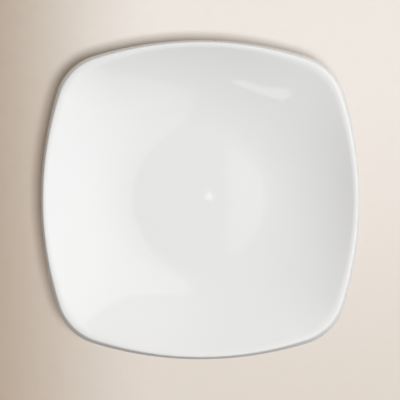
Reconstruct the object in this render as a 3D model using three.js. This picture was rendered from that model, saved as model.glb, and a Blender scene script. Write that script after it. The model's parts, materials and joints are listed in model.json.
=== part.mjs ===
// A soft-square coupe salad plate: one fired porcelain body and the glass glaze that is fused to it.
// The glaze was wiped off the foot ring before firing, so the bare foot parts it into two separate coats.
// Millimetres, +Z up, origin on the table under the middle of the plate.

import * as THREE from "three";

// Outline, seen from above
const plateWidth = 210; // across the middles of two opposite sides
const sideRadius = 240; // bow of each side
const cornerRadius = 36; // round of each corner
const squaring = 3; // power by which the round well is drawn out to that outline on the way to the lip

// Section, glaze included
const plateHeight = 23; // table to the top of the lip
const lipShoulder = 6; // round that turns the wall's face over to the top of the lip
const lipCrown = 1; // round from the top of the lip to its trimmed edge
const lipEdge = 0.8; // round under the trimmed edge, the outermost point of the plate
const lipTrim = 3; // drop of the trimmed edge, from the crown's centre to the lower round's
const lipLean = THREE.MathUtils.degToRad(23); // lean of the trimmed edge, wider at its foot
const wellRadius = 41; // round floor of the plate, out to where the wall begins to rise
const wellSag = 0.1; // dip of the well's middle below its edge
const wellThickness = 4.8; // floor of the well, top to underside
const recessClearance = 2.4; // table to the underside at the middle of the plate

// Foot ring, in bare porcelain
const footRadius = 54; // middle of the band that stands on the table
const footBand = 2.4; // flat width of that band
const footRound = 0.6; // round on both edges of the band
const footDraft = THREE.MathUtils.degToRad(20); // lean of the ring's flanks, for the mould
const outerFootFillet = 2; // where the outer flank runs into the underside
const innerFootFillet = 1.6; // where the inner flank runs into the recess

// Glaze
const glazeThickness = 0.3;
const bareFootHeight = 1; // both coats stop this far above the table

// Finishes
const bisqueColour = 0xe9e4da;
const bisqueRoughness = 0.8;
const glazeColour = 0xeeede9;
const glazeRoughness = 0.1;

// Facets on each stretch of the outline and of the section
const sideSteps = 8;
const cornerSteps = 7;
const wellSteps = 1;
const wallSteps = 9;
const shoulderSteps = 3;
const lipSteps = 2;
const undersideSteps = 7;
const filletSteps = 3;
const straightSteps = 1;
const roundSteps = 2;
const recessSteps = 1;

const halfWidth = plateWidth / 2;
const quarterTurn = Math.PI / 2;

// The point that lies at an angle and a distance from another.
const polar = (centre, angle, distance) =>
  new THREE.Vector2(Math.cos(angle), Math.sin(angle)).multiplyScalar(distance).add(centre);

// A circular stretch, from one angle to another: left turns with the angle, right against it.
const leftArc = (centre, radius, from, to) =>
  new THREE.EllipseCurve(centre.x, centre.y, radius, radius, from, to, false);
const rightArc = (centre, radius, from, to) =>
  new THREE.EllipseCurve(centre.x, centre.y, radius, radius, from, to, true);

// Points on the plate's outline: four bowed sides and four round corners, each arc tangent to the next.
function outlinePoints() {
  const sideCentre = halfWidth - sideRadius;
  const betweenCentres = sideRadius - cornerRadius;
  const cornerCentre = (sideCentre + Math.sqrt(2 * betweenCentres ** 2 - sideCentre ** 2)) / 2;
  const sideTurn = Math.atan2(cornerCentre, cornerCentre - sideCentre);
  const middle = new THREE.Vector2();
  const points = [];
  for (let quarter = 0; quarter < 4; quarter++) {
    const turn = quarter * quarterTurn;
    const side = new THREE.Vector2(sideCentre, 0).rotateAround(middle, turn);
    const corner = new THREE.Vector2(cornerCentre, cornerCentre).rotateAround(middle, turn);
    const bow = leftArc(side, sideRadius, turn - sideTurn, turn + sideTurn);
    const bend = leftArc(corner, cornerRadius, turn + sideTurn, turn + quarterTurn - sideTurn);
    points.push(...bow.getPoints(sideSteps).slice(0, -1));
    points.push(...bend.getPoints(cornerSteps).slice(0, -1));
  }
  return points;
}

// Section of the porcelain body, x out from the axis and y up. Its stretches are tangent to one another and
// run from the middle of the well over the lip and the foot to the middle of the recess underneath.
const bodyThickness = wellThickness - 2 * glazeThickness;
const shoulderRadius = lipShoulder - glazeThickness;
const crownRadius = lipCrown - glazeThickness;
const edgeRadius = lipEdge - glazeThickness;

// The trimmed edge is tangent to the crown above it and to the lower round, which stands out further.
const trimOffset = (lipCrown - lipEdge + lipTrim * Math.sin(lipLean)) / Math.cos(lipLean);
const edgeCentre = new THREE.Vector2(halfWidth - lipEdge, plateHeight - lipCrown - lipTrim);
const crownCentre = new THREE.Vector2(edgeCentre.x - trimOffset, plateHeight - lipCrown);
const shoulderCentre = new THREE.Vector2(crownCentre.x, plateHeight - lipShoulder);

// The well is a shallow part of a sphere, and so is the roof of the recess under it.
const wellSphere = (wellRadius ** 2 + wellSag ** 2) / (2 * wellSag);
const recessSphere = wellSphere + bodyThickness;
const sphereCentre = new THREE.Vector2(0, recessClearance + glazeThickness + recessSphere);
const wellSlope = Math.asin(wellRadius / wellSphere);
const wellEdge = polar(sphereCentre, wellSlope - quarterTurn, wellSphere);
const well = leftArc(sphereCentre, wellSphere, -quarterTurn, wellSlope - quarterTurn);

// The wall is one arc, tangent to the well and to the lip's shoulder. The arc that runs inside the wall, a
// shoulder radius below its face, ends in the shoulder's centre, and that gives the slope at the lip.
const wallStart = polar(wellEdge, wellSlope - quarterTurn, shoulderRadius);
const wallChord = shoulderCentre.clone().sub(wallStart);
const lipSlope = 2 * wallChord.angle() - wellSlope;
const wallRadius = wallChord.length() / 2 / Math.sin((lipSlope - wellSlope) / 2) - shoulderRadius;
const wallCentre = polar(wellEdge, wellSlope + quarterTurn, wallRadius);
const wall = leftArc(wallCentre, wallRadius, wellSlope - quarterTurn, lipSlope - quarterTurn);

// The lip turns from the wall to its top, down the trimmed edge to the outermost point, and under.
const shoulder = rightArc(shoulderCentre, shoulderRadius, lipSlope + quarterTurn, quarterTurn);
const crown = rightArc(crownCentre, crownRadius, quarterTurn, lipLean);
const trimTop = polar(crownCentre, lipLean, crownRadius);
const trimFoot = polar(edgeCentre, lipLean, edgeRadius);
const trim = new THREE.LineCurve(trimTop, trimFoot);
const edge = rightArc(edgeCentre, edgeRadius, lipLean, 0);
const edgeBelow = rightArc(edgeCentre, edgeRadius, 0, lipSlope - quarterTurn);

// The underside is one arc, from the lip towards the point that lies under the well's edge.
const lipEnd = polar(edgeCentre, lipSlope - quarterTurn, edgeRadius);
const wellUnder = new THREE.Vector2(wellEdge.x, wellEdge.y - bodyThickness);
const underChord = lipEnd.clone().sub(wellUnder);
const underSlope = 2 * underChord.angle() - lipSlope;
const underRadius = underChord.length() / 2 / Math.sin((lipSlope - underSlope) / 2);
const underCentre = polar(lipEnd, lipSlope + quarterTurn, underRadius);

// One side of the foot ring, outside (1) or inside (-1): the round at its band, its leaning flank and the
// fillet that runs into the surface above, which is an arc about the given centre.
function footSide(side, aboveCentre, aboveRadius, filletRadius) {
  const outward = new THREE.Vector2(side * Math.cos(footDraft), -Math.sin(footDraft));
  const upward = new THREE.Vector2(side * Math.sin(footDraft), Math.cos(footDraft));
  const roundCentre = new THREE.Vector2(footRadius + (side * footBand) / 2, footRound);
  const flankFoot = roundCentre.clone().addScaledVector(outward, footRound);
  const filletLevel = flankFoot.clone().addScaledVector(outward, filletRadius);
  const fromAbove = filletLevel.clone().sub(aboveCentre);
  const clear = aboveRadius + filletRadius;
  const climb = -fromAbove.dot(upward) - Math.sqrt(clear ** 2 - fromAbove.cross(upward) ** 2);
  const filletCentre = filletLevel.addScaledVector(upward, climb);
  const glazeClimb = (bareFootHeight - flankFoot.y) / upward.y;
  return {
    roundCentre,
    flankFoot,
    glazeStop: flankFoot.clone().addScaledVector(upward, glazeClimb),
    flankTop: flankFoot.clone().addScaledVector(upward, climb),
    filletCentre,
    outwardAngle: outward.angle(),
    flankAngle: outward.angle() - side * Math.PI,
    aboveAngle: aboveCentre.clone().sub(filletCentre).angle(),
  };
}

const outer = footSide(1, underCentre, underRadius, outerFootFillet);
const inner = footSide(-1, sphereCentre, recessSphere, innerFootFillet);

const underside = rightArc(underCentre, underRadius, lipSlope - quarterTurn, outer.aboveAngle - Math.PI);
const outerFillet = leftArc(outer.filletCentre, outerFootFillet, outer.aboveAngle, outer.flankAngle);
const outerFlank = new THREE.LineCurve(outer.flankTop, outer.glazeStop);
const outerBareFlank = new THREE.LineCurve(outer.glazeStop, outer.flankFoot);
const outerRound = rightArc(outer.roundCentre, footRound, outer.outwardAngle, -quarterTurn);
const bandStart = new THREE.Vector2(outer.roundCentre.x, 0);
const bandEnd = new THREE.Vector2(inner.roundCentre.x, 0);
const band = new THREE.LineCurve(bandStart, bandEnd);
const innerRound = rightArc(inner.roundCentre, footRound, -quarterTurn, inner.outwardAngle);
const innerBareFlank = new THREE.LineCurve(inner.flankFoot, inner.glazeStop);
const innerFlank = new THREE.LineCurve(inner.glazeStop, inner.flankTop);
const innerFillet = leftArc(inner.filletCentre, innerFootFillet, inner.flankAngle, inner.aboveAngle);
const recess = rightArc(sphereCentre, recessSphere, inner.aboveAngle - Math.PI, -quarterTurn);

// Points along a run of stretches, each with its outward normal, which lies to the left of the way it runs.
function walk(stretches) {
  const samples = [];
  for (const [curve, steps] of stretches) {
    for (let step = samples.length ? 1 : 0; step <= steps; step++) {
      const along = curve.getTangent(step / steps);
      const normal = new THREE.Vector2(-along.y, along.x);
      samples.push({ point: curve.getPoint(step / steps), normal });
    }
  }
  return samples;
}

const facePoints = walk([
  [well, wellSteps],
  [wall, wallSteps],
  [shoulder, shoulderSteps],
  [crown, lipSteps],
  [trim, straightSteps],
  [edge, straightSteps],
  [edgeBelow, lipSteps],
  [underside, undersideSteps],
  [outerFillet, filletSteps],
  [outerFlank, straightSteps],
]);
const barePoints = walk([
  [outerBareFlank, straightSteps],
  [outerRound, roundSteps],
  [band, straightSteps],
  [innerRound, roundSteps],
  [innerBareFlank, straightSteps],
]);
const recessPoints = walk([
  [innerFlank, straightSteps],
  [innerFillet, filletSteps],
  [recess, recessSteps],
]);

const bodySurface = (samples) => samples.map(({ point }) => point);
const glazeSurface = (samples) =>
  samples.map(({ point, normal }) => point.clone().addScaledVector(normal, glazeThickness));

const outline = outlinePoints();

// A section point carried round the plate: a circle in the well, drawn out to the soft square at the lip.
function ring(point) {
  const climb = Math.max(0, point.x - wellRadius) / (halfWidth - wellRadius);
  return outline.map((brink) => {
    const reach = point.x + climb ** squaring * (brink.length() - halfWidth);
    const place = brink.clone().setLength(reach);
    return new THREE.Vector3(place.x, place.y, point.y);
  });
}

// The closed surface that a section sweeps. It runs from the axis back to the axis, solid on its right.
// Each facet is split from the ring nearer the axis, so that two surfaces that meet have the same facets.
function sweep(section) {
  const count = outline.length;
  const firstPole = new THREE.Vector3(0, 0, section[0].y);
  const lastPole = new THREE.Vector3(0, 0, section.at(-1).y);
  const rings = section.slice(1, -1);
  const points = [firstPole, ...rings.flatMap(ring), lastPole];
  const lastRow = rings.length - 1;
  const at = (row, column) => 1 + row * count + (column % count);
  const faces = [];
  for (let column = 0; column < count; column++) {
    faces.push(0, at(0, column), at(0, column + 1));
    for (let row = 0; row < lastRow; row++) {
      const [a, b] = [at(row, column), at(row + 1, column)];
      const [c, d] = [at(row + 1, column + 1), at(row, column + 1)];
      if (rings[row].x < rings[row + 1].x) faces.push(a, b, c, a, c, d);
      else faces.push(a, b, d, b, c, d);
    }
    faces.push(at(lastRow, column), points.length - 1, at(lastRow, column + 1));
  }
  const geometry = new THREE.BufferGeometry().setFromPoints(points).setIndex(faces);
  geometry.computeVertexNormals();
  return geometry;
}

// A named piece with a finish of its own.
function piece(name, section, color, roughness) {
  const material = new THREE.MeshStandardMaterial({ color, roughness, metalness: 0 });
  const mesh = new THREE.Mesh(sweep(section), material);
  mesh.name = name;
  return mesh;
}

// The fired body, with its foot ring.
function porcelainBody() {
  const samples = [...facePoints, ...barePoints.slice(1), ...recessPoints.slice(1)];
  return piece("porcelain_body", bodySurface(samples), bisqueColour, bisqueRoughness);
}

// The coat over the face, the lip and the underside, down to the outer flank of the foot ring.
function glazeCoat() {
  const section = [...glazeSurface(facePoints), ...bodySurface(facePoints).reverse()];
  return piece("glaze_coat", section, glazeColour, glazeRoughness);
}

// The coat inside the foot ring, over its inner flank and the roof of the recess.
function footRecessGlaze() {
  const section = [...bodySurface(recessPoints).reverse(), ...glazeSurface(recessPoints)];
  return piece("foot_recess_glaze", section, glazeColour, glazeRoughness);
}

const plate = new THREE.Group();
plate.name = "salad_plate";
plate.add(porcelainBody(), glazeCoat(), footRecessGlaze());

export default plate;
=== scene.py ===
"""Looks of a soft-square porcelain salad plate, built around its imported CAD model.

Everything is in metres, in the CAD model's own frame: +Z up, the origin on the table under the middle of the
plate. One section and one outline give every surface of the plate. A Geometry Nodes tree carries the section
round the outline: a circle in the well, drawn out to the soft square at the lip.
"""

import json
import logging
import math
from collections.abc import Iterable, Sequence
from dataclasses import dataclass, field, replace
from enum import Enum
from functools import cached_property, partial
from typing import Any

import bpy
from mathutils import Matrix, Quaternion, Vector

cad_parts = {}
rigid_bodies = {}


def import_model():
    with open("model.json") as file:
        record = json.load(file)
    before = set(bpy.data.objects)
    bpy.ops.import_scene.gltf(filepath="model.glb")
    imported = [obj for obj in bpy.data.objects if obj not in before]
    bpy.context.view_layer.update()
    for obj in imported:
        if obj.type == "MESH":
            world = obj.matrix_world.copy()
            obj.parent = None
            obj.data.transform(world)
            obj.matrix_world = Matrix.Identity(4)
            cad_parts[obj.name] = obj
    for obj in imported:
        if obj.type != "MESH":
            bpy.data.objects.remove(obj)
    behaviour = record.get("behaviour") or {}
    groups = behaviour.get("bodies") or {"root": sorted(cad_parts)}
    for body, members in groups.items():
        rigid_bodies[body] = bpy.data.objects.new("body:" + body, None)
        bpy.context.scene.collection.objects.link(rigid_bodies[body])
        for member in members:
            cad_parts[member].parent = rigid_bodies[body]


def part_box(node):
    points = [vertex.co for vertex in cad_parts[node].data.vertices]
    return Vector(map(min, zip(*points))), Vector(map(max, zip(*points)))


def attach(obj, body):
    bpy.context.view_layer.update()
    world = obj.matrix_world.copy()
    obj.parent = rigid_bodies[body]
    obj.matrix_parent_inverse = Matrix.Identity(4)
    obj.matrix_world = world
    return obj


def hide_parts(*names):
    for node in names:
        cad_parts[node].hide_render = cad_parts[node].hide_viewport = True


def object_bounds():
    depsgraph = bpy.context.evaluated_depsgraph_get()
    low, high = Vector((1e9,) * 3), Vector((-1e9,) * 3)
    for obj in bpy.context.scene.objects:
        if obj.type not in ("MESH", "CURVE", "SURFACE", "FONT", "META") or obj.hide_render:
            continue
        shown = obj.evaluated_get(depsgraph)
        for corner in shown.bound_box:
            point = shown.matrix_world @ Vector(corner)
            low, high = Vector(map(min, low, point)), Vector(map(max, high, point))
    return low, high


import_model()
cad_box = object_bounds()

log = logging.getLogger("salad_plate")

MM = 0.001
QUARTER_TURN = math.pi / 2
FULL_TURN = 2 * math.pi


def linear(colour: str) -> tuple[float, float, float, float]:
    """Turns an sRGB hex colour into the linear colour that a shader takes.

    Args:
        colour: Six hex digits after a hash sign.

    Returns:
        Linear red, green and blue, and full opacity.
    """
    shares = [int(colour[place : place + 2], 16) / 255 for place in (1, 3, 5)]
    red, green, blue = (s / 12.92 if s <= 0.04045 else ((s + 0.055) / 1.055) ** 2.4 for s in shares)
    return red, green, blue, 1.0


def per_metre(width: float) -> float:
    """Scale of a texture whose features are that many metres wide."""
    return 1 / width


def add_node(
    tree: bpy.types.NodeTree, kind: str, inputs: dict[str | int, Any] | Sequence[Any] = (), **settings: Any
) -> bpy.types.Node:
    """Adds a node to a tree, with its settings and its inputs.

    Args:
        tree: The node tree.
        kind: Blender's name for the type of node.
        inputs: What its inputs get, in order or by name: a value, an output, or a node for its first output.
        settings: Values for the node's own properties.

    Returns:
        The new node.
    """
    node = tree.nodes.new(kind)
    for name, value in settings.items():
        setattr(node, name, value)
    for key, value in inputs.items() if isinstance(inputs, dict) else enumerate(inputs):
        source = value.outputs[0] if isinstance(value, bpy.types.Node) else value
        if isinstance(source, bpy.types.NodeSocket):
            tree.links.new(source, node.inputs[key])
        else:
            node.inputs[key].default_value = source
    return node


def empty_tree(owner: bpy.types.Material | bpy.types.Light | bpy.types.World) -> bpy.types.NodeTree:
    """Gives a material, lamp or world a node tree of its own.

    Args:
        owner: The material, lamp or world.

    Returns:
        Its tree, with no node in it.
    """
    owner.use_nodes = True
    owner.node_tree.nodes.clear()
    return owner.node_tree


def shown_share(tree: bpy.types.NodeTree) -> bpy.types.NodeSocket:
    """Tells the rays that the camera sees, straight or in a surface, from those that only light things.

    Args:
        tree: The node tree.

    Returns:
        An output that is 1 on such a ray and 0 on any other.
    """
    rays = add_node(tree, "ShaderNodeLightPath").outputs
    seen = rays["Is Camera Ray"]
    for kind in ("Is Glossy Ray", "Is Transmission Ray"):
        seen = add_node(tree, "ShaderNodeMath", [seen, rays[kind]], operation="MAXIMUM").outputs[0]
    return seen


def axis_rings(
    tree: bpy.types.NodeTree, place: bpy.types.NodeSocket, width: float, detail: float
) -> bpy.types.Node:
    """Adds uneven rings round the plate's axis, as a wheel or a turning tool leaves them.

    Args:
        tree: The node tree.
        place: Object coordinates.
        width: Distance between the rings.
        detail: How much finer unevenness they have.

    Returns:
        The node that gives the height of the rings.
    """
    level = add_node(tree, "ShaderNodeVectorMath", [place, (1.0, 1.0, 0.0)], operation="MULTIPLY")
    reach = add_node(tree, "ShaderNodeVectorMath", [level], operation="LENGTH").outputs["Value"]
    pattern = {"W": reach, "Scale": per_metre(width), "Detail": detail}
    return add_node(tree, "ShaderNodeTexNoise", pattern, noise_dimensions="1D")


def polar(centre: Vector, angle: float, distance: float) -> Vector:
    """The point that lies at an angle and a distance from another, in the section's plane."""
    return centre + Vector((math.cos(angle), math.sin(angle))) * distance


def heading(vector: Vector) -> float:
    """Angle of a vector in the section's plane."""
    return math.atan2(vector.y, vector.x)


class Turn(Enum):
    """The way in which an arc bends."""

    LEFT = 1
    RIGHT = -1


class FootSide(Enum):
    """A side of the foot ring."""

    OUTER = 1
    INNER = -1


class Depth:
    """Depth of the fired glaze, as a share of its usual depth: it runs off edges and gathers in hollows."""

    SHOULDER = 0.8
    CROWN = 0.6
    TRIM = 0.2
    EDGE = 0.3
    UNDER_EDGE = 0.8
    FILLET = 1.6
    OUTER_FLANK = 1.2
    INNER_FLANK = 1.3


class Wave:
    """Share of the glaze's slow waves that reaches a stretch."""

    STILL = 0.0
    LIP = 0.6


@dataclass(frozen=True)
class SectionPoint:
    """A point of a section: x out from the axis, y up.

    Attributes:
        place: Where it is.
        normal: Outward normal of the surface there.
        depth: How deep the glaze lies there, as a share of its usual depth.
        wave: Share of the glaze's slow waves that reaches it.
        slide: The way that it moves as the glaze line wanders, and how far as a share.
    """

    place: Vector
    normal: Vector
    depth: float = 1.0
    wave: float = 0.0
    slide: Vector = field(default_factory=lambda: Vector((0.0, 0.0)))


@dataclass(frozen=True)
class Arc:
    """A round stretch of a section.

    Attributes:
        centre: Centre of the arc.
        radius: Its radius.
        start: Angle at which it starts.
        end: Angle at which it ends.
        turn: The way in which it bends.
        depth: Depth of the glaze at its end, as a share of the usual depth.
        wave: Share of the glaze's slow waves at its end.
    """

    centre: Vector
    radius: float
    start: float
    end: float
    turn: Turn
    depth: float = 1.0
    wave: float = 1.0

    @property
    def sweep(self) -> float:
        """Angle that it turns through, positive to the left."""
        return self.turn.value * (self.turn.value * (self.end - self.start) % FULL_TURN)

    @property
    def length(self) -> float:
        """Length along the arc."""
        return abs(self.sweep) * self.radius

    def at(self, share: float) -> tuple[Vector, Vector]:
        """Point and outward normal, which lies to the left of the way it runs, at a share of its length."""
        outward = polar(Vector((0.0, 0.0)), self.start + self.sweep * share, 1.0)
        return self.centre + outward * self.radius, outward * -self.turn.value


@dataclass(frozen=True)
class Line:
    """A straight stretch of a section, from one point to another, with the depth and wave that an arc has."""

    start: Vector
    end: Vector
    depth: float = 1.0
    wave: float = 1.0

    @property
    def length(self) -> float:
        """Length of the line."""
        return (self.end - self.start).length

    def at(self, share: float) -> tuple[Vector, Vector]:
        """Point and outward normal, which lies to the left of the way it runs, at a share of its length."""
        along = (self.end - self.start).normalized()
        return self.start.lerp(self.end, share), Vector((-along.y, along.x))


# A run of stretches, each starting where the last one ends, and the points along a run
Stretches = list[Arc | Line]
Section = list[SectionPoint]


@dataclass(frozen=True)
class FootFlank:
    """One side of the foot ring, as its section needs it.

    Attributes:
        round_centre: Centre of the round at the edge of the band.
        flank_foot: Lower end of the leaning flank.
        glaze_stop: Where the glaze ends on the flank.
        flank_top: Upper end of the flank.
        fillet_centre: Centre of the fillet that runs into the surface above.
        round_angle: Angle at which the round meets the flank.
        flank_angle: Angle at which the fillet meets the flank.
        above_angle: Angle at which the fillet meets the surface above.
    """

    round_centre: Vector
    flank_foot: Vector
    glaze_stop: Vector
    flank_top: Vector
    fillet_centre: Vector
    round_angle: float
    flank_angle: float
    above_angle: float


@dataclass(frozen=True)
class PlateShape:
    """Sizes of the plate, glaze included, and the outline and section that follow from them.

    Attributes:
        half_width: From the axis to the middle of a side.
        height: Table to the top of the lip.
        glaze: Thickness of the glaze.
        side_radius: Bow of each side.
        corner_radius: Round of each corner.
        squaring: Power by which the round well is drawn out to the outline on the way to the lip.
        lip_shoulder: Round that turns the wall's face over to the top of the lip.
        lip_crown: Round from the top of the lip to its trimmed edge.
        lip_edge: Round under the trimmed edge, the outermost point of the plate.
        lip_trim: Drop of the trimmed edge.
        lip_lean: Lean of the trimmed edge.
        well_radius: Round floor of the plate, out to where the wall begins to rise.
        well_sag: Dip of the well's middle below its edge.
        well_thickness: Floor of the well, top to underside.
        recess_clearance: Table to the underside at the middle of the plate.
        foot_radius: Middle of the band that stands on the table.
        foot_band: Flat width of that band.
        foot_round: Round on both edges of the band.
        foot_draft: Lean of the ring's flanks.
        outer_fillet: Round where the outer flank runs into the underside.
        inner_fillet: Round where the inner flank runs into the recess.
        bare_foot: Height above the table at which the glaze stops.
    """

    half_width: float
    height: float
    glaze: float
    side_radius: float = 240 * MM
    corner_radius: float = 36 * MM
    squaring: float = 3.0
    lip_shoulder: float = 6 * MM
    lip_crown: float = 1 * MM
    lip_edge: float = 0.8 * MM
    lip_trim: float = 3 * MM
    lip_lean: float = math.radians(23)
    well_radius: float = 41 * MM
    well_sag: float = 0.1 * MM
    well_thickness: float = 4.8 * MM
    recess_clearance: float = 2.4 * MM
    foot_radius: float = 54 * MM
    foot_band: float = 2.4 * MM
    foot_round: float = 0.6 * MM
    foot_draft: float = math.radians(20)
    outer_fillet: float = 2 * MM
    inner_fillet: float = 1.6 * MM
    bare_foot: float = 1 * MM

    @classmethod
    def from_frame(cls) -> "PlateShape":
        """Takes the width, the height and the glaze from the CAD model.

        Returns:
            The sizes of the plate.
        """
        _, highest = cad_box
        _, body_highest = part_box("porcelain_body")
        return cls(half_width=highest.x, height=highest.z, glaze=highest.x - body_highest.x)

    @property
    def body_thickness(self) -> float:
        """Thickness of the fired body under the well."""
        return self.well_thickness - 2 * self.glaze

    @cached_property
    def well_sphere(self) -> float:
        """Radius of the shallow sphere that the well's floor is part of."""
        return (self.well_radius**2 + self.well_sag**2) / (2 * self.well_sag)

    @cached_property
    def sphere_centre(self) -> Vector:
        """Centre that the well's floor and the roof of the recess share."""
        return Vector((0.0, self.recess_clearance + self.glaze + self.recess_sphere))

    @property
    def recess_sphere(self) -> float:
        """Radius of the recess's roof."""
        return self.well_sphere + self.body_thickness

    def outline(self, spacing: float) -> list[Vector]:
        """Points on the outline: four bowed sides and four round corners, each arc tangent to the next.

        Args:
            spacing: Greatest distance between two points.

        Returns:
            The points, anticlockwise from above, with one on the middle of each side.
        """
        side_centre = self.half_width - self.side_radius
        between = self.side_radius - self.corner_radius
        corner_centre = (side_centre + math.sqrt(2 * between**2 - side_centre**2)) / 2
        side_turn = math.atan2(corner_centre, corner_centre - side_centre)
        points = []
        for quarter in range(4):
            turn = quarter * QUARTER_TURN
            side = polar(Vector((0.0, 0.0)), turn, side_centre)
            corner = polar(Vector((0.0, 0.0)), turn + QUARTER_TURN / 2, corner_centre * math.sqrt(2))
            bow = Arc(side, self.side_radius, turn - side_turn, turn + side_turn, Turn.LEFT)
            bend_end = turn + QUARTER_TURN - side_turn
            bend = Arc(corner, self.corner_radius, turn + side_turn, bend_end, Turn.LEFT)
            for arc in (bow, bend):
                steps = 2 * math.ceil(arc.length / spacing / 2)
                points += [arc.at(step / steps)[0] for step in range(steps)]
        return points

    def foot_flank(self, side: FootSide, above: Vector, above_radius: float, fillet: float) -> FootFlank:
        """Works out one side of the foot ring.

        Args:
            side: The side.
            above: Centre of the arc that the flank's fillet runs into.
            above_radius: Radius of that arc.
            fillet: Radius of the fillet.

        Returns:
            The points and angles of that side.
        """
        outward = Vector((side.value * math.cos(self.foot_draft), -math.sin(self.foot_draft)))
        upward = Vector((side.value * math.sin(self.foot_draft), math.cos(self.foot_draft)))
        round_centre = Vector((self.foot_radius + side.value * self.foot_band / 2, self.foot_round))
        flank_foot = round_centre + outward * self.foot_round
        level = flank_foot + outward * fillet
        from_above = level - above
        aside = from_above.x * upward.y - from_above.y * upward.x
        climb = -from_above.dot(upward) - math.sqrt((above_radius + fillet) ** 2 - aside**2)
        fillet_centre = level + upward * climb
        return FootFlank(
            round_centre=round_centre,
            flank_foot=flank_foot,
            glaze_stop=flank_foot + upward * ((self.bare_foot - flank_foot.y) / upward.y),
            flank_top=flank_foot + upward * climb,
            fillet_centre=fillet_centre,
            round_angle=heading(outward),
            flank_angle=heading(-outward),
            above_angle=heading(above - fillet_centre),
        )

    @cached_property
    def inner_flank(self) -> FootFlank:
        """Inner side of the foot ring, under the roof of the recess."""
        return self.foot_flank(FootSide.INNER, self.sphere_centre, self.recess_sphere, self.inner_fillet)

    @cached_property
    def lip_and_wall(self) -> Stretches:
        """Body surface of the well, the wall and the lip.

        Returns:
            The stretches from the axis to the round under the trimmed edge.
        """
        shoulder_radius = self.lip_shoulder - self.glaze
        crown_radius = self.lip_crown - self.glaze
        edge_radius = self.lip_edge - self.glaze
        trim_offset = self.lip_crown - self.lip_edge + self.lip_trim * math.sin(self.lip_lean)
        edge_centre = Vector((self.half_width - self.lip_edge, self.height - self.lip_crown - self.lip_trim))
        crown_x = edge_centre.x - trim_offset / math.cos(self.lip_lean)
        crown_centre = Vector((crown_x, self.height - self.lip_crown))
        shoulder_centre = Vector((crown_x, self.height - self.lip_shoulder))
        slope = math.asin(self.well_radius / self.well_sphere)
        well_edge = polar(self.sphere_centre, slope - QUARTER_TURN, self.well_sphere)
        chord = shoulder_centre - polar(well_edge, slope - QUARTER_TURN, shoulder_radius)
        lip_slope = 2 * heading(chord) - slope
        wall_radius = chord.length / 2 / math.sin((lip_slope - slope) / 2) - shoulder_radius
        wall_centre = polar(well_edge, slope + QUARTER_TURN, wall_radius)
        face_end = lip_slope + QUARTER_TURN
        under_start = lip_slope - QUARTER_TURN
        trim_top = polar(crown_centre, self.lip_lean, crown_radius)
        trim_foot = polar(edge_centre, self.lip_lean, edge_radius)
        well = Arc(self.sphere_centre, self.well_sphere, -QUARTER_TURN, slope - QUARTER_TURN, Turn.LEFT)
        wall = Arc(wall_centre, wall_radius, slope - QUARTER_TURN, under_start, Turn.LEFT, wave=Wave.LIP)
        over = face_end, QUARTER_TURN, Turn.RIGHT, Depth.SHOULDER, Wave.STILL
        shoulder = Arc(shoulder_centre, shoulder_radius, *over)
        to_trim = QUARTER_TURN, self.lip_lean, Turn.RIGHT, Depth.CROWN, Wave.STILL
        crown = Arc(crown_centre, crown_radius, *to_trim)
        trim = Line(trim_top, trim_foot, Depth.TRIM, Wave.STILL)
        edge = Arc(edge_centre, edge_radius, self.lip_lean, 0.0, Turn.RIGHT, Depth.EDGE, Wave.STILL)
        below = 0.0, under_start, Turn.RIGHT, Depth.UNDER_EDGE, Wave.STILL
        edge_below = Arc(edge_centre, edge_radius, *below)
        return [well, wall, shoulder, crown, trim, edge, edge_below]

    @cached_property
    def face(self) -> Stretches:
        """Body surface under the glaze coat.

        Returns:
            The stretches from the axis, over the lip, to the glaze line on the outer flank of the foot ring.
        """
        well, *_, edge_below = self.lip_and_wall
        well_edge, _ = well.at(1.0)
        lip_end, _ = edge_below.at(1.0)
        chord = lip_end - (well_edge - Vector((0.0, self.body_thickness)))
        lip_slope = edge_below.end + QUARTER_TURN
        under_slope = 2 * heading(chord) - lip_slope
        under_radius = chord.length / 2 / math.sin((lip_slope - under_slope) / 2)
        under_centre = polar(lip_end, lip_slope + QUARTER_TURN, under_radius)
        flank = self.foot_flank(FootSide.OUTER, under_centre, under_radius, self.outer_fillet)
        under_end = flank.above_angle - math.pi
        underside = Arc(under_centre, under_radius, edge_below.end, under_end, Turn.RIGHT)
        bend = flank.above_angle, flank.flank_angle, Turn.LEFT, Depth.FILLET
        fillet = Arc(flank.fillet_centre, self.outer_fillet, *bend)
        glazed_flank = Line(flank.flank_top, flank.glaze_stop, Depth.OUTER_FLANK, Wave.STILL)
        return [*self.lip_and_wall, underside, fillet, glazed_flank]

    @cached_property
    def bare(self) -> Stretches:
        """Bare body surface of the foot ring, between the two coats of glaze.

        Returns:
            The stretches from the glaze line on the outer flank to the one on the inner flank.
        """
        *_, outer_glazed = self.face
        along = (outer_glazed.end - outer_glazed.start).normalized()
        outward = Vector((-along.y, along.x))
        outer_round = Vector((self.foot_radius + self.foot_band / 2, self.foot_round))
        inner = self.inner_flank
        return [
            Line(outer_glazed.end, outer_round + outward * self.foot_round),
            Arc(outer_round, self.foot_round, heading(outward), -QUARTER_TURN, Turn.RIGHT),
            Line(Vector((outer_round.x, 0.0)), Vector((inner.round_centre.x, 0.0))),
            Arc(inner.round_centre, self.foot_round, -QUARTER_TURN, inner.round_angle, Turn.RIGHT),
            Line(inner.flank_foot, inner.glaze_stop),
        ]

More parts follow.
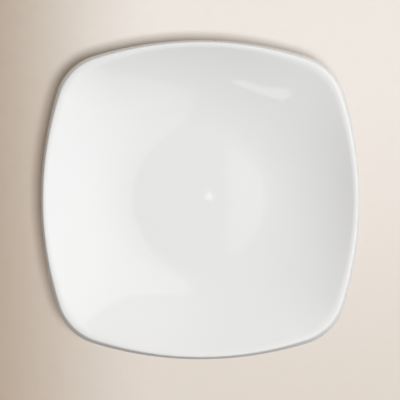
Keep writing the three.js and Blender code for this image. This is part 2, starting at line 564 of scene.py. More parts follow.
    @cached_property
    def recess(self) -> Stretches:
        """Body surface under the recess's glaze.

        Returns:
            The stretches from the glaze line on the inner flank to the axis.
        """
        inner = self.inner_flank
        roof_start = inner.above_angle - math.pi
        bend = inner.flank_angle, inner.above_angle, Turn.LEFT, Depth.FILLET
        return [
            Line(inner.glaze_stop, inner.flank_top, Depth.INNER_FLANK),
            Arc(inner.fillet_centre, self.inner_fillet, *bend),
            Arc(self.sphere_centre, self.recess_sphere, roof_start, -QUARTER_TURN, Turn.RIGHT),
        ]


def walk(stretches: Stretches, spacing: float, least_steps: int) -> Section:
    """Points along a run of stretches, with the depth and waves of the glaze graded from one to the next.

    Args:
        stretches: The stretches, each starting where the last one ends.
        spacing: Greatest distance between two points.
        least_steps: Fewest steps on one stretch.

    Returns:
        The points, in the way that the stretches run.
    """
    points: Section = []
    depth, wave = 1.0, 1.0
    for stretch in stretches:
        steps = max(least_steps, math.ceil(stretch.length / spacing))
        for step in range(1 if points else 0, steps + 1):
            share = step / steps
            place, normal = stretch.at(share)
            graded = depth + (stretch.depth - depth) * share
            points.append(SectionPoint(place, normal, graded, wave + (stretch.wave - wave) * share))
        depth, wave = stretch.depth, stretch.wave
    return points


class SectionSweep:
    """Geometry Nodes tree that carries a section round the plate's outline and closes it."""

    DEPTH = "glaze_depth"
    WAVE = "glaze_wave"
    SLIDE = "line_slide"
    JOIN_DISTANCE = 0.001 * MM
    NUMBERS = (
        "Half Width",
        "Well Radius",
        "Squaring",
        "Wave Height",
        "Wave Length",
        "Wander Height",
        "Wander Length",
        "Seed",
    )

    def __init__(self) -> None:
        """Makes the tree, with a named input for each size."""
        self.tree = bpy.data.node_groups.new("section round the outline", "GeometryNodeTree")
        self.tree.is_modifier = True
        kinds = {"Section": "NodeSocketGeometry", "Outline": "NodeSocketObject"}
        kinds |= {name: "NodeSocketFloat" for name in self.NUMBERS}
        kinds["Finish"] = "NodeSocketMaterial"
        sockets = self.tree.interface
        self.ids: dict[str, str] = {}
        for name, kind in kinds.items():
            self.ids[name] = sockets.new_socket(name, in_out="INPUT", socket_type=kind).identifier
        sockets.new_socket("Surface", in_out="OUTPUT", socket_type="NodeSocketGeometry")
        self.build()

    def build(self) -> None:
        """Lays out the tree: a grid of section by outline, put in place, closed and waved."""
        add = partial(add_node, self.tree)
        given = add("NodeGroupInput").outputs
        section = given["Section"]
        outline = add("GeometryNodeObjectInfo", {"Object": given["Outline"]}).outputs["Geometry"]
        columns, rows = (
            add("GeometryNodeAttributeDomainSize", {"Geometry": chain}).outputs["Point Count"]
            for chain in (outline, section)
        )
        wide = add("FunctionNodeIntegerMath", [columns, 1], operation="ADD")
        grid = add("GeometryNodeMeshGrid", {"Vertices X": rows, "Vertices Y": wide})

        # Each vertex takes its place in the outline and its point of the section
        index = add("GeometryNodeInputIndex")
        row = add("FunctionNodeIntegerMath", [index, wide], operation="DIVIDE_FLOOR")
        step = add("FunctionNodeIntegerMath", [index, wide], operation="MODULO")
        column = add("FunctionNodeIntegerMath", [step, columns], operation="MODULO")
        position = add("GeometryNodeInputPosition")
        brink = add("GeometryNodeSampleIndex", [outline, position, column], data_type="FLOAT_VECTOR")
        point = add("GeometryNodeSampleIndex", [section, position, row], data_type="FLOAT_VECTOR")
        at = add("ShaderNodeSeparateXYZ", [point]).outputs
        kept: dict[str, bpy.types.Node] = {}
        for name, kind in ((self.DEPTH, "FLOAT"), (self.WAVE, "FLOAT"), (self.SLIDE, "FLOAT_VECTOR")):
            held = add("GeometryNodeInputNamedAttribute", {"Name": name}, data_type=kind)
            kept[name] = add("GeometryNodeSampleIndex", [section, held, row], data_type=kind)

        # Smooth noise, from -1 to 1, for the glaze line and for the waves
        stray: dict[str, bpy.types.Node] = {}
        for name, spot in (("Wander", brink), ("Wave", position)):
            scale = add("ShaderNodeMath", [1.0, given[f"{name} Length"]], operation="DIVIDE")
            pattern = {"Vector": spot, "W": given["Seed"], "Scale": scale, "Detail": 1.0}
            noise = add("ShaderNodeTexNoise", pattern, noise_dimensions="4D")
            stray[name] = add("ShaderNodeMath", [noise, 2.0, -1.0], operation="MULTIPLY_ADD")

        # Drawn out from a circle to the outline
        reach = add("ShaderNodeVectorMath", [brink], operation="LENGTH").outputs["Value"]
        spread = add("ShaderNodeMath", [given["Half Width"], given["Well Radius"]], operation="SUBTRACT")
        past = add("ShaderNodeMath", [at["X"], given["Well Radius"]], operation="SUBTRACT")
        outside = add("ShaderNodeMath", [past, 0.0], operation="MAXIMUM")
        climb = add("ShaderNodeMath", [outside, spread], operation="DIVIDE")
        share = add("ShaderNodeMath", [climb, given["Squaring"]], operation="POWER")
        pull = add("ShaderNodeMath", [reach, given["Half Width"]], operation="SUBTRACT")
        drawn = add("ShaderNodeMath", [share, pull, at["X"]], operation="MULTIPLY_ADD")

        # The glaze line wanders round the foot
        slide = add("ShaderNodeSeparateXYZ", [kept[self.SLIDE]]).outputs
        wander = add("ShaderNodeMath", [stray["Wander"], given["Wander Height"]], operation="MULTIPLY")
        out = add("ShaderNodeMath", [slide["X"], wander, drawn], operation="MULTIPLY_ADD")
        up = add("ShaderNodeMath", [slide["Z"], wander, at["Z"]], operation="MULTIPLY_ADD")
        ray = add("ShaderNodeVectorMath", [brink], operation="NORMALIZE")
        flat = add("ShaderNodeVectorMath", {0: ray, "Scale": out}, operation="SCALE")
        lift = add("ShaderNodeCombineXYZ", {"Z": up})
        place = add("ShaderNodeVectorMath", [flat, lift], operation="ADD")
        surface = grid
        for name in (self.DEPTH, self.WAVE):
            stored = {"Geometry": surface, "Name": name, "Value": kept[name]}
            surface = add("GeometryNodeStoreNamedAttribute", stored, data_type="FLOAT")
        surface = add("GeometryNodeSetPosition", {"Geometry": surface, "Position": place})
        surface = add("GeometryNodeMergeByDistance", {"Geometry": surface, "Distance": self.JOIN_DISTANCE})

        # Slow waves that the glaze set with
        weight = add("GeometryNodeInputNamedAttribute", {"Name": self.WAVE}, data_type="FLOAT")
        height = add("ShaderNodeMath", [weight, given["Wave Height"]], operation="MULTIPLY")
        swell = add("ShaderNodeMath", [stray["Wave"], height], operation="MULTIPLY")
        normal = add("GeometryNodeInputNormal")
        push = add("ShaderNodeVectorMath", {0: normal, "Scale": swell}, operation="SCALE")
        surface = add("GeometryNodeSetPosition", {"Geometry": surface, "Offset": push})
        surface = add("GeometryNodeSetShadeSmooth", {"Geometry": surface})
        surface = add("GeometryNodeRealizeInstances", {"Geometry": surface})
        surface = add("GeometryNodeSetMaterial", {"Geometry": surface, "Material": given["Finish"]})
        add("NodeGroupOutput", {"Surface": surface})

    def section_mesh(self, name: str, points: Section) -> bpy.types.Mesh:
        """Makes the chain of points that the tree reads a section from.

        Args:
            name: Name of the mesh.
            points: The section, from the axis back to the axis with the solid on its right.

        Returns:
            A mesh of vertices and edges in the plane of X and Z, with the points' attributes.
        """
        mesh = bpy.data.meshes.new(name)
        places = [(point.place.x, 0.0, point.place.y) for point in points]
        mesh.from_pydata(places, [(index, index + 1) for index in range(len(points) - 1)], [])
        depth = mesh.attributes.new(self.DEPTH, "FLOAT", "POINT")
        depth.data.foreach_set("value", [point.depth for point in points])
        wave = mesh.attributes.new(self.WAVE, "FLOAT", "POINT")
        wave.data.foreach_set("value", [point.wave for point in points])
        slide = mesh.attributes.new(self.SLIDE, "FLOAT_VECTOR", "POINT")
        slide.data.foreach_set("vector", [share for p in points for share in (p.slide.x, 0.0, p.slide.y)])
        return mesh

    def run(self, name: str, points: Section, inputs: dict[str, Any]) -> bpy.types.Object:
        """Carries a section round the outline and keeps the result as a plain mesh.

        Args:
            name: Name of the piece.
            points: Its section.
            inputs: Values of the tree's inputs by name.

        Returns:
            The piece, at the origin.
        """
        section = self.section_mesh(f"{name} section", points)
        piece = bpy.data.objects.new(name, section)
        bpy.context.scene.collection.objects.link(piece)
        modifier = piece.modifiers.new("sweep", "NODES")
        modifier.node_group = self.tree
        for key, value in inputs.items():
            modifier[self.ids[key]] = value
        evaluated = piece.evaluated_get(bpy.context.evaluated_depsgraph_get())
        mesh = bpy.data.meshes.new_from_object(evaluated)
        mesh.name = name
        mesh.attributes.remove(mesh.attributes[self.WAVE])
        piece.modifiers.clear()
        piece.data = mesh
        bpy.data.meshes.remove(section)
        return piece


@dataclass(frozen=True)
class WhiteGlaze:
    """Clear feldspar glaze over white porcelain, dipped and fired to a glass.

    It gives the eye a soft white that lies under a sharp clear gloss. The white is warmer where the glaze ran
    thin on the lip and cooler where it pooled, and the gloss bends a little over slow ripples.

    Attributes:
        name: Name of the material.
        thin: Colour where the glaze is thin.
        usual: Colour of a full cover of glaze.
        pooled: Colour where the glaze pooled.
        speck: Colour of the rare iron specks.
        ior: Refractive index of the glass.
        roughness: Least and greatest roughness.
        thin_depth: Depth at which the glaze has its thin colour.
        usual_depth: Depth at which the cover is full. Deeper, it turns slowly to its pooled colour.
        pooled_depth: Depth at which it has its pooled colour.
        deepest: Depth at the end of the scale of colours.
        cloud_width: Width of the slow changes of colour and gloss.
        cloud_depth: Change of depth that they stand for, up and down.
        ripple_width: Width of the ripples in the gloss.
        ripple_height: Height of those ripples.
        speck_spacing: Distance from one speck's place to the next.
        speck_width: Width of a speck, drawn about twice as wide as a real one so that it shows.
        speck_strength: How strongly a speck colours the glaze.
        speck_rarity: Level that a place's random brightness passes if it has a speck, as about a third do.
        ring_width: Distance between the rings of the turning tool that show through, or none.
        ring_height: Height of those rings.
    """

    name: str = "porcelain glaze, clear over white"
    thin: str = "#DAD7D2"
    usual: str = "#E8E7E5"
    pooled: str = "#E2E4E3"
    speck: str = "#A8967E"
    ior: float = 1.52
    roughness: tuple[float, float] = (0.02, 0.045)
    thin_depth: float = 0.04
    usual_depth: float = 0.4
    pooled_depth: float = 1.7
    deepest: float = 2.0
    cloud_width: float = 45 * MM
    cloud_depth: float = 0.1
    ripple_width: float = 6 * MM
    ripple_height: float = 0.002 * MM
    speck_spacing: float = 17 * MM
    speck_width: float = 0.4 * MM
    speck_strength: float = 0.4
    speck_rarity: float = 0.62
    ring_width: float = 0.0
    ring_height: float = 0.006 * MM

    def build(self) -> bpy.types.Material:
        """Makes the material.

        Returns:
            The material, which reads the glaze's depth from the mesh.
        """
        material = bpy.data.materials.new(self.name)
        tree = empty_tree(material)
        add = partial(add_node, tree)
        place = add("ShaderNodeTexCoord").outputs["Object"]
        depth = add("ShaderNodeAttribute", attribute_name=SectionSweep.DEPTH).outputs["Fac"]

        # Depth of the glaze, with slow clouds, picks the colour
        cloud_pattern = {"Vector": place, "Scale": per_metre(self.cloud_width), "Detail": 2.0}
        clouds = add("ShaderNodeTexNoise", cloud_pattern)
        cloud_range = {"Value": clouds, "To Min": -self.cloud_depth, "To Max": self.cloud_depth}
        drift = add("ShaderNodeMapRange", cloud_range)
        deep = add("ShaderNodeMath", [depth, drift], operation="ADD")
        pick = add("ShaderNodeMath", [deep, self.deepest], operation="DIVIDE")
        ramp = add("ShaderNodeValToRGB", [pick])
        thin, pooled = ramp.color_ramp.elements
        thin.position = self.thin_depth / self.deepest
        thin.color = linear(self.thin)
        pooled.position = self.pooled_depth / self.deepest
        pooled.color = linear(self.pooled)
        ramp.color_ramp.elements.new(self.usual_depth / self.deepest).color = linear(self.usual)

        # Rare iron specks under the glass
        cells = add("ShaderNodeTexVoronoi", {"Vector": place, "Scale": per_metre(self.speck_spacing)}).outputs
        speck_range = {"Value": cells["Distance"], "From Min": self.speck_width / self.speck_spacing}
        speck_range |= {"From Max": 0.0, "To Max": self.speck_strength}
        dot = add("ShaderNodeMapRange", speck_range)
        chance = add("ShaderNodeMath", [cells["Color"], self.speck_rarity], operation="GREATER_THAN")
        rare = add("ShaderNodeMath", [dot, chance], operation="MULTIPLY")
        speckling = {"Factor": rare, "A": ramp, "B": linear(self.speck)}
        specked = add("ShaderNodeMix", speckling, data_type="RGBA").outputs["Result"]

        # Gloss that the clouds dull, over ripples and, in the recess, the rings of the turned foot
        low, high = self.roughness
        gloss = add("ShaderNodeMapRange", {"Value": clouds, "To Min": low, "To Max": high})
        ripple_pattern = {"Vector": place, "Scale": per_metre(self.ripple_width), "Detail": 1.0}
        ripples = add("ShaderNodeTexNoise", ripple_pattern)
        bump = add("ShaderNodeBump", {"Height": ripples, "Distance": self.ripple_height})
        if self.ring_width:
            rings = axis_rings(tree, place, self.ring_width, detail=1.0)
            bump = add("ShaderNodeBump", {"Height": rings, "Distance": self.ring_height, "Normal": bump})
        glass = {"Base Color": specked, "Roughness": gloss, "IOR": self.ior, "Normal": bump}
        shader = add("ShaderNodeBsdfPrincipled", glass)
        add("ShaderNodeOutputMaterial", {"Surface": shader})
        return material


# The same glaze where it pooled inside the foot: duller, cooler, over the rings of the turned foot
RECESS_GLAZE = WhiteGlaze(
    name="porcelain glaze, pooled in the foot",
    usual="#E6E6E3",
    pooled="#DFE2E0",
    roughness=(0.06, 0.12),
    cloud_width=26 * MM,
    speck_spacing=12 * MM,
    ring_width=2.6 * MM,
    ring_height=0.1 * MM,
)


@dataclass(frozen=True)
class BisquePorcelain:
    """Unglazed fired porcelain, ground smooth on a wheel where it stands on the table.

    It gives the eye a dry, warm white without gloss, with a fine sandy grain, rings from the grinding wheel
    and a faint grey on the band where it has rubbed.

    Attributes:
        name: Name of the material.
        fired: Colour of the fired body.
        sandy: Colour of its grains.
        rubbed: Colour of the ground band.
        ior: Refractive index.
        roughness: Roughness of the ground band and of the fired flanks.
        grit_width: Width of the grains, drawn about three times as wide as real ones so that they show.
        grit_height: Height of the grains.
        grit_range: Least and greatest level of the grain's noise between which its colour mixes in.
        ring_width: Distance between the wheel's rings.
        ground_height: Height above the table that the grinding reaches.
    """

    name: str = "bisque porcelain, ground foot"
    fired: str = "#E6DED0"
    sandy: str = "#D5CAB8"
    rubbed: str = "#CFC8BC"
    ior: float = 1.5
    roughness: tuple[float, float] = (0.6, 0.85)
    grit_width: float = 0.35 * MM
    grit_height: float = 0.02 * MM
    grit_range: tuple[float, float] = (0.45, 0.75)
    ring_width: float = 0.22 * MM
    ground_height: float = 0.15 * MM

    def build(self) -> bpy.types.Material:
        """Makes the material.

        Returns:
            The material.
        """
        material = bpy.data.materials.new(self.name)
        tree = empty_tree(material)
        add = partial(add_node, tree)
        place = add("ShaderNodeTexCoord").outputs["Object"]
        height = add("ShaderNodeSeparateXYZ", [place]).outputs["Z"]
        grain_pattern = {"Vector": place, "Scale": per_metre(self.grit_width), "Detail": 3.0}
        grains = add("ShaderNodeTexNoise", grain_pattern)
        rings = axis_rings(tree, place, self.ring_width, detail=2.0)
        ground_range = {"Value": height, "From Min": self.ground_height, "From Max": 0.0}
        ground = add("ShaderNodeMapRange", ground_range)

        # Sandy body, greyed by the rings of the wheel where it is ground
        least, most = self.grit_range
        sand = add("ShaderNodeMapRange", {"Value": grains, "From Min": least, "From Max": most})
        body = {"Factor": sand, "A": linear(self.fired), "B": linear(self.sandy)}
        sanded = add("ShaderNodeMix", body, data_type="RGBA").outputs["Result"]
        worn = add("ShaderNodeMath", [ground, rings], operation="MULTIPLY")
        band = {"Factor": worn, "A": sanded, "B": linear(self.rubbed)}
        colour = add("ShaderNodeMix", band, data_type="RGBA").outputs["Result"]
        smooth, rough = self.roughness
        dull = add("ShaderNodeMapRange", {"Value": ground, "To Min": rough, "To Max": smooth})
        grit_or_rings = {"Factor": ground, "A": grains, "B": rings}
        relief = add("ShaderNodeMix", grit_or_rings, data_type="FLOAT").outputs["Result"]
        bump = add("ShaderNodeBump", {"Height": relief, "Distance": self.grit_height})
        bisque = {"Base Color": colour, "Roughness": dull, "IOR": self.ior, "Normal": bump}
        shader = add("ShaderNodeBsdfPrincipled", bisque)
        add("ShaderNodeOutputMaterial", {"Surface": shader})
        return material


@dataclass(frozen=True)
class TablePaint:
    """Pale matt paint on a smooth board, falling into shade on one side.

    It gives the eye a warm beige with a barely visible mottle and no gloss, darkened by painted shade on one
    side and towards the viewer.

    Attributes:
        name: Name of the material.
        pale: The paint's own colour, far from the viewer and away from the painted shade.
        near_painted_shade: Painted shade towards the viewer: the colour that the paint is darkened to there.
        near_painted_shade_run: Where that painted shade begins to mix in and where it is at its full, along
            Y.
        painted_shade: Painted shade on one side, towards -X: the colour that the paint is darkened to there.
        painted_shade_run: Where that painted shade begins to mix in and where it is at its full, along X.
        roughness: Roughness of the paint.
        gloss: Level of its gloss, where 0.5 is that of common plastic.
        mottle_width: Width of the mottle.
        mottle_share: How far it moves the mix between the paint's colour and the painted shade on one side,
            up and down.
        own_light: Share of its colour that the camera sees whatever light falls on it.
        own_tint: Tint of that share, which shows in the plate's shadow.
        bounce: Colour in which it throws light back on the plate.
    """

    name: str = "matt paint, pale beige"
    pale: str = "#F8F5F3"
    near_painted_shade: str = "#E5DFDA"
    near_painted_shade_run: tuple[float, float] = (120 * MM, -166 * MM)
    painted_shade: str = "#B5A492"
    painted_shade_run: tuple[float, float] = (-23 * MM, -179 * MM)
    roughness: float = 0.85
    gloss: float = 0.1
    mottle_width: float = 9 * MM
    mottle_share: float = 0.04
    own_light: float = 0.25
    own_tint: str = "#FFEDD4"
    bounce: str = "#5E564E"

    def build(self) -> bpy.types.Material:
        """Makes the material.

        Returns:
            The material, which is clear from below so that the underside can be seen and lit.
        """
        material = bpy.data.materials.new(self.name)
        tree = empty_tree(material)
        add = partial(add_node, tree)
        place = add("ShaderNodeTexCoord").outputs["Object"]
        at = add("ShaderNodeSeparateXYZ", [place]).outputs
        # Painted shade: the paint's colour is darkened to one side along X and towards the viewer along Y
        mix: dict[str, bpy.types.Node] = {}
        for axis, (start, full) in {"X": self.painted_shade_run, "Y": self.near_painted_shade_run}.items():
            run = {"Value": at[axis], "From Min": start, "From Max": full}
            mix[axis] = add("ShaderNodeMapRange", run, interpolation_type="SMOOTHSTEP")
        mottle_pattern = {"Vector": place, "Scale": per_metre(self.mottle_width), "Detail": 3.0}
        mottle = add("ShaderNodeTexNoise", mottle_pattern)
        mottle_range = {"Value": mottle, "To Min": -self.mottle_share, "To Max": self.mottle_share}
        drift = add("ShaderNodeMapRange", mottle_range)
        # Share of painted shade on one side, with the mottle's random tone added
        shade = add("ShaderNodeMath", [mix["X"], drift], operation="ADD", use_clamp=True)
        # The paint's own colour, darkened by painted shade towards the viewer
        lit_side = {"Factor": mix["Y"], "A": linear(self.pale), "B": linear(self.near_painted_shade)}
        lit = add("ShaderNodeMix", lit_side, data_type="RGBA").outputs["Result"]
        both_sides = {"Factor": shade, "A": lit, "B": linear(self.painted_shade)}
        colour = add("ShaderNodeMix", both_sides, data_type="RGBA").outputs["Result"]
        matt = {"Base Color": colour, "Roughness": self.roughness, "Specular IOR Level": self.gloss}
        paint = add("ShaderNodeBsdfPrincipled", matt)

        # Light that it throws on the plate, and light of its own that shows but lights nothing
        rays = add("ShaderNodeLightPath").outputs
        dark = add("ShaderNodeBsdfDiffuse", {"Color": linear(self.bounce)})
        thrown = add("ShaderNodeMixShader", [rays["Is Diffuse Ray"], paint, dark])
        warmth = {"Factor": 1.0, "A": colour, "B": linear(self.own_tint)}
        warm = add("ShaderNodeMix", warmth, data_type="RGBA", blend_type="MULTIPLY").outputs["Result"]
        glow = add("ShaderNodeEmission", {"Color": warm})
        own = add("ShaderNodeMath", [shown_share(tree), self.own_light], operation="MULTIPLY")
        top = add("ShaderNodeMixShader", [own, thrown, glow])

        # Clear from below, and to the light that comes from there
        back = add("ShaderNodeNewGeometry").outputs["Backfacing"]
        through = add("ShaderNodeMath", [back, rays["Is Shadow Ray"]], operation="MAXIMUM")
        clear = add("ShaderNodeBsdfTransparent")
        sides = add("ShaderNodeMixShader", [through, top, clear])
        add("ShaderNodeOutputMaterial", {"Surface": sides})
        return material


@dataclass
class Plate:
    """The plate: its fired body and the two coats of glaze that the bare foot parts.

    Attributes:
        shape: Sizes and section of the plate.
        outline_spacing: Greatest distance between two points of the outline.
        face_spacing: Greatest distance between two points of a shown section.
        hidden_spacing: The same on a surface that another covers.
        shown_steps: Fewest steps on a shown stretch.
        hidden_steps: Fewest steps on a covered stretch.
        bead: Length of flank over which the glaze rounds off to its end.
        bead_steps: Steps round that end.
        wander_reach: Length of flank that moves with the glaze line.
        wander_height: How far the glaze line strays up and down.
        wander_length: Length of its wanderings, measured out at the rim.
        wave_height: Height of the slow waves in the glaze.
        wave_length: Length of those waves.
        seed: Seed of the wandering line and the waves.
        sweep: Tree that carries a section round the outline.
    """

    shape: PlateShape
    outline_spacing: float = 2 * MM
    face_spacing: float = 1.4 * MM
    hidden_spacing: float = 7 * MM
    shown_steps: int = 6
    hidden_steps: int = 3
    bead: float = 0.45 * MM
    bead_steps: int = 6
    wander_reach: float = 1.4 * MM
    wander_height: float = 0.2 * MM
    wander_length: float = 22 * MM
    wave_height: float = 0.02 * MM
    wave_length: float = 34 * MM
    seed: float = 4.0
    sweep: SectionSweep = field(default_factory=SectionSweep)

    def __post_init__(self) -> None:
        """Makes the chain of outline points that the sweep reads."""
        points = self.shape.outline(self.outline_spacing)
        mesh = bpy.data.meshes.new("plate outline")
        mesh.from_pydata([(point.x, point.y, 0.0) for point in points], [], [])
        self.outline = bpy.data.objects.new("plate outline", mesh)
        bpy.context.scene.collection.objects.link(self.outline)

    def glazed(self, stretches: Stretches, line_first: bool) -> tuple[Section, Section]:
        """Works out a coat of glaze: its outer surface and the body surface under it.

        Args:
            stretches: Body surface under the coat, in the way that the section runs.
            line_first: Whether the coat starts, and not ends, at the glaze line.

        Returns:
            Points of the outer surface and of the covered one, both in the way that the section runs.
        """
        flank = stretches[0] if line_first else stretches[-1]
        line = flank.start if line_first else flank.end
        far = flank.end if line_first else flank.start
        down = (line - far).normalized()
        bead_start = line - down * self.bead
        if line_first:
            open_run = [Line(bead_start, far, flank.depth, flank.wave), *stretches[1:]]
        else:
            open_run = [*stretches[:-1], Line(far, bead_start, flank.depth)]
        outer = []
        for point in walk(open_run, self.face_spacing, self.shown_steps):
            raised = point.place + point.normal * self.shape.glaze
            outer.append(replace(point, place=raised, slide=self.slide(point, line, down)))
        _, normal = flank.at(0.0)
        rounded = []
        for step in range(1, self.bead_steps + 1):
            angle = QUARTER_TURN * step / self.bead_steps
            place = bead_start + down * (self.bead * math.sin(angle))
            place += normal * (self.shape.glaze * math.cos(angle))
            rounded.append(SectionPoint(place, normal, flank.depth, Wave.STILL, down))
        covered = [
            replace(point, wave=Wave.STILL, slide=self.slide(point, line, down))
            for point in walk(stretches, self.hidden_spacing, self.hidden_steps)
        ]
        outer = [*reversed(rounded), *outer] if line_first else [*outer, *rounded]
        return outer, covered

    def slide(self, point: SectionPoint, line: Vector, down: Vector) -> Vector:
        """How a point moves with the glaze line: fully at the line, and not at all further up the flank."""
        away = (point.place - line).length
        return down * max(0.0, 1 - away / self.wander_reach)

    def swept(self, name: str, section: Section, finish: bpy.types.Material) -> bpy.types.Object:
        """Carries a section round the plate.

        Args:
            name: Name of the piece.
            section: Its section.
            finish: Its material.

        Returns:
            The piece.
        """
        inputs = {
            "Outline": self.outline,
            "Half Width": self.shape.half_width,
            "Well Radius": self.shape.well_radius,
            "Squaring": self.shape.squaring,
            "Wave Height": self.wave_height,
            "Wave Length": self.wave_length,
            "Wander Height": self.wander_height,
            "Wander Length": self.wander_length,
            "Seed": self.seed,
            "Finish": finish,
        }
        return self.sweep.run(name, section, inputs)

    def glaze_coat(self, finish: bpy.types.Material) -> bpy.types.Object:
        """The coat over the face, the lip and the underside, down to the outer flank of the foot ring."""
        outer, covered = self.glazed(self.shape.face, line_first=False)
        return self.swept("glaze_coat_shell", [*outer, *reversed(covered)], finish)

    def foot_recess_glaze(self, finish: bpy.types.Material) -> bpy.types.Object:
        """The coat inside the foot ring, over its inner flank and the roof of the recess."""
        outer, covered = self.glazed(self.shape.recess, line_first=True)
        return self.swept("foot_recess_glaze_shell", [*reversed(covered), *outer], finish)

    def porcelain_body(self, finish: bpy.types.Material) -> bpy.types.Object:
        """The fired body, which shows only at its bare foot.

        Args:
            finish: Its material.

        Returns:
            The piece.
        """
        hidden = self.hidden_spacing, self.hidden_steps
        section = walk(self.shape.face, *hidden)
        section += walk(self.shape.bare, self.face_spacing, self.shown_steps)[1:]
        section += walk(self.shape.recess, *hidden)[1:]
        still = [SectionPoint(point.place, point.normal) for point in section]
        return self.swept("porcelain_body_solid", still, finish)

    def clear_outline(self) -> None:
        """Removes the chain of outline points once every piece is swept."""
        mesh = self.outline.data
        bpy.data.objects.remove(self.outline)
        bpy.data.meshes.remove(mesh)


class Lit(Enum):
    """What a lamp lights."""

    PLATE = "plate"
    TABLE = "table"


class PanelShape(Enum):
    """Shape of a lamp's glowing face."""

    RECTANGLE = "RECTANGLE"
    ELLIPSE = "ELLIPSE"


@dataclass(frozen=True)
class SoftPanel:
    """A lamp with a glowing face, which may be graded.

    Attributes:
        name: Name of the lamp.
        middle: Middle of the face.
        width: Width of the face, level with the table.
        height: Its height, across the width.
        brightness: Brightness of the face, where 1 renders as white.
        aim: Point that it faces.
        lights: What it lights.
        tint: Colour of its light.
        shape: Shape of the face.
        edge: Brightness along the edges of the face, as a share of the brightness at its middle.
        edge_width: Share of the way to the middle over which it rises to its full brightness.
        lean: How much brighter it is towards its right and its top side, as shares.
        turn: Turn of the face about the way that it faces.
        bounces: How often its light is thrown on from surface to surface.
    """

    name: str
    middle: Vector
    width: float
    height: float
    brightness: float
    aim: Vector = field(default_factory=lambda: Vector((0.0, 0.0, 0.0)))
    lights: Lit = Lit.PLATE
    tint: str = "#FFFFFF"
    shape: PanelShape = PanelShape.RECTANGLE
    edge: float = 1.0
    edge_width: float = 0.8
    lean: tuple[float, float] = (0.0, 0.0)
    turn: float = 0.0
    bounces: int = 12

    def build(self, lit: Iterable[bpy.types.Object]) -> bpy.types.Object:
        """Makes the lamp.

        Args:
            lit: The only objects that it lights.

        Returns:
            The lamp, which glows on the object but isn't itself in the picture.
        """
        round_share = math.pi / 4 if self.shape is PanelShape.ELLIPSE else 1.0
        data = bpy.data.lights.new(self.name, "AREA")
        data.shape = self.shape.value
        data.size = self.width
        data.size_y = self.height
        data.energy = self.brightness * math.pi * self.width * self.height * round_share
        data.color = linear(self.tint)[:3]
        data.cycles.max_bounces = self.bounces
        lamp = bpy.data.objects.new(self.name, data)
        lamp.location = self.middle
        lamp.rotation_mode = "QUATERNION"
        facing = (self.aim - self.middle).to_track_quat("-Z", "Y")
        lamp.rotation_quaternion = facing @ Quaternion((0.0, 0.0, 1.0), self.turn)
        lamp.visible_camera = False
        bpy.context.scene.collection.objects.link(lamp)
        receivers = bpy.data.collections.new(f"lit by {self.name}")
        for receiver in lit:
            receivers.objects.link(receiver)
        lamp.light_linking.receiver_collection = receivers
        if self.edge < 1.0 or any(self.lean):
            self.grade(data)
        return lamp

    def grade(self, data: bpy.types.AreaLight) -> None:
        """Grades the lamp's face: dimmer towards its edges, and brighter towards one side.

        Args:
            data: The lamp's data.
        """
        add = partial(add_node, empty_tree(data))

        # From 0 at the middle of the face to 1 at its edges
        face = add("ShaderNodeNewGeometry").outputs["Parametric"]
        double = [face, (2.0, 2.0, 0.0), (-1.0, -1.0, 0.0)]
        out = add("ShaderNodeVectorMath", double, operation="MULTIPLY_ADD")
        if self.shape is PanelShape.ELLIPSE:
            reach = add("ShaderNodeVectorMath", [out], operation="LENGTH").outputs["Value"]
        else:
            size = add("ShaderNodeVectorMath", [out], operation="ABSOLUTE")
            sides = add("ShaderNodeSeparateXYZ", [size]).outputs
            reach = add("ShaderNodeMath", [sides["X"], sides["Y"]], operation="MAXIMUM").outputs[0]
        fall = {"Value": reach, "From Min": 1.0, "From Max": 1.0 - self.edge_width, "To Min": self.edge}
        level = add("ShaderNodeMapRange", fall, interpolation_type="SMOOTHSTEP")
        tilt = add("ShaderNodeVectorMath", [out, (*self.lean, 0.0)], operation="DOT_PRODUCT").outputs["Value"]
        strength = add("ShaderNodeMath", [level, tilt, level], operation="MULTIPLY_ADD")
        glow = add("ShaderNodeEmission", {"Strength": strength})
        add("ShaderNodeOutputLight", {"Surface": glow})


@dataclass(frozen=True)
class StudioRoom:
    """The pale room round the table, a little brighter on one side.

    Attributes:
        brightness: Mean brightness of the light that it throws, where 1 renders as white.
        shown: Brightness that the camera sees, straight or in a reflection.
        lean: How much brighter it is towards +X and +Y, as shares of the mean.
        tint: Colour of its light.
    """

    brightness: float = 0.02
    shown: float = 0.35
    lean: tuple[float, float] = (0.42, 0.4)
    tint: str = "#FFFBF5"

    def build(self) -> None:
        """Makes the world that stands for the room."""
        world = bpy.data.worlds.new("pale studio room")
        bpy.context.scene.world = world
        tree = empty_tree(world)
        add = partial(add_node, tree)
        way = add("ShaderNodeTexCoord").outputs["Generated"]
        tilt = add("ShaderNodeVectorMath", [way, (*self.lean, 0.0)], operation="DOT_PRODUCT").outputs["Value"]
        seen_range = {"Value": shown_share(tree), "To Min": self.brightness, "To Max": self.shown}
        level = add("ShaderNodeMapRange", seen_range)
        strength = add("ShaderNodeMath", [tilt, level, level], operation="MULTIPLY_ADD")
        backdrop = add("ShaderNodeBackground", {"Color": linear(self.tint), "Strength": strength})
        add("ShaderNodeOutputWorld", {"Surface": backdrop})


@dataclass(frozen=True)
class TableTop:
    """The table that the plate stands on.

    Attributes:
        half_width: Half its width.
        paint: Its finish.
    """

    half_width: float = 8.0
    paint: TablePaint = TablePaint()

    def build(self) -> bpy.types.Object:
        """Makes the table's top, level with the foot of the plate.

        Returns:
            The table's top.
        """
        far = self.half_width
        mesh = bpy.data.meshes.new("table_top")
        mesh.from_pydata([(-far, -far, 0), (far, -far, 0), (far, far, 0), (-far, far, 0)], [], [(0, 1, 2, 3)])
        mesh.materials.append(self.paint.build())
        table = bpy.data.objects.new("table_top", mesh)
        bpy.context.scene.collection.objects.link(table)
        return table


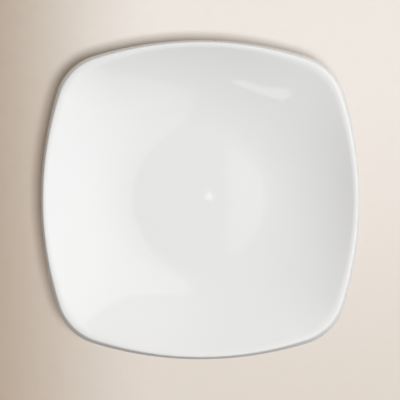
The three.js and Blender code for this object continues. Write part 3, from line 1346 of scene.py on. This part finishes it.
@dataclass(frozen=True)
class PhotoCamera:
    """Camera straight above the plate, framed as in the photograph.

    Attributes:
        height: Camera above the table.
        picture_side: Side of the square picture, in pixels.
        plate_side: Width of the plate in the picture, in pixels.
        plate_middle: Middle of the plate in the picture, in pixels from its upper left corner.
        sensor: Width of the sensor.
    """

    height: float = 1.2
    picture_side: float = 400.0
    plate_side: float = 319.1
    plate_middle: tuple[float, float] = (200.35, 199.7)
    sensor: float = 36 * MM

    def build(self, shape: PlateShape) -> bpy.types.Object:
        """Makes the camera and sets it as the scene's.

        Args:
            shape: The plate, whose outermost edge the framing is measured at.

        Returns:
            The camera.
        """
        pixel = 2 * shape.half_width / self.plate_side
        edge_height = shape.height - shape.lip_crown - shape.lip_trim
        across, down = (middle - self.picture_side / 2 for middle in self.plate_middle)
        data = bpy.data.cameras.new("photo_camera")
        data.sensor_width = self.sensor / MM
        data.lens = self.sensor / MM * (self.height - edge_height) / (pixel * self.picture_side)
        camera = bpy.data.objects.new("photo_camera", data)
        camera.location = (-across * pixel, down * pixel, self.height)
        bpy.context.scene.collection.objects.link(camera)
        bpy.context.scene.camera = camera
        return camera


WARM_WHITE = "#FFFCF8"

# The lamps above the table are placed by the reflection or the shading that each leaves on the plate, apart
# from the last one, which lights the table. The lamp under the table lights the underside.
LAMPS = (
    SoftPanel(
        name="softbox",
        middle=Vector((0.42582, -0.1525, 0.93342)),
        aim=Vector((-0.42018, -0.1525, 0.39942)),
        width=1.155,
        height=1.46,
        brightness=1.5,
        tint="#F1F6FF",
        edge=0.62,
        edge_width=0.9,
        lean=(0.15, -0.2),
    ),
    SoftPanel(
        name="overhead panel",
        middle=Vector((0.0, 0.0, 1.7)),
        width=4.6,
        height=4.6,
        brightness=1.13,
        tint=WARM_WHITE,
        shape=PanelShape.ELLIPSE,
        edge=0.66,
        edge_width=1.0,
        lean=(0.0, 0.9),
    ),
    SoftPanel(
        name="corner panel",
        middle=Vector((1.4, 1.4, 0.95)),
        width=3.0,
        height=1.6,
        brightness=0.55,
        tint=WARM_WHITE,
        edge=0.0,
        edge_width=0.6,
    ),
    SoftPanel(
        name="low right panel",
        middle=Vector((2.0, 0.0, 0.35)),
        width=3.6,
        height=0.6,
        brightness=2.1,
        tint=WARM_WHITE,
        edge=0.0,
        edge_width=0.6,
    ),
    SoftPanel(
        name="strip lamp",
        middle=Vector((-0.283, -0.703, 1.5)),
        aim=Vector((-0.283, -0.703, 0.0)),
        width=0.354,
        height=0.062,
        brightness=1.6,
        turn=math.radians(-57.9),
    ),
    SoftPanel(
        name="camera lamp",
        middle=Vector((0.0097, 0.0036, 1.25)),
        aim=Vector((0.0097, 0.0036, 0.0)),
        width=0.008,
        height=0.008,
        brightness=3.7,
        shape=PanelShape.ELLIPSE,
    ),
    SoftPanel(
        name="lamp under the table",
        middle=Vector((0.75, 0.1, -1.1)),
        width=0.7,
        height=0.7,
        brightness=13.0,
        shape=PanelShape.ELLIPSE,
        bounces=0,
    ),
    SoftPanel(
        name="table lamp",
        middle=Vector((1.0, -0.9, 4.0)),
        aim=Vector((1.0, -0.9, 0.0)),
        width=1.8,
        height=1.6,
        brightness=19.7,
        lights=Lit.TABLE,
    ),
)


def dress(piece: bpy.types.Object, node: str) -> None:
    """Ties a piece to the CAD model and reports it.

    Args:
        piece: The piece.
        node: The CAD node that it stands for.
    """
    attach(piece, "root")
    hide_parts(node)
    log.info("%s stands for %s: %d faces", piece.name, node, len(piece.data.polygons))


def main() -> None:
    """Builds the camera, the plate, the table and the light, with the plate's sizes taken from the CAD model.
    """
    logging.basicConfig(level=logging.INFO, format="%(name)s: %(message)s")
    bpy.context.scene.view_settings.view_transform = "Standard"
    shape = PlateShape.from_frame()
    PhotoCamera().build(shape)
    plate = Plate(shape)
    body = plate.porcelain_body(BisquePorcelain().build())
    coat = plate.glaze_coat(WhiteGlaze().build())
    recess = plate.foot_recess_glaze(RECESS_GLAZE.build())
    pieces = [body, coat, recess]
    dress(body, "porcelain_body")
    dress(coat, "glaze_coat")
    dress(recess, "foot_recess_glaze")
    plate.clear_outline()
    table = TableTop().build()
    StudioRoom().build()
    lit = {Lit.PLATE: pieces, Lit.TABLE: [table]}
    for lamp in LAMPS:
        lamp.build(lit[lamp.lights])


if __name__ == "__main__":
    main()
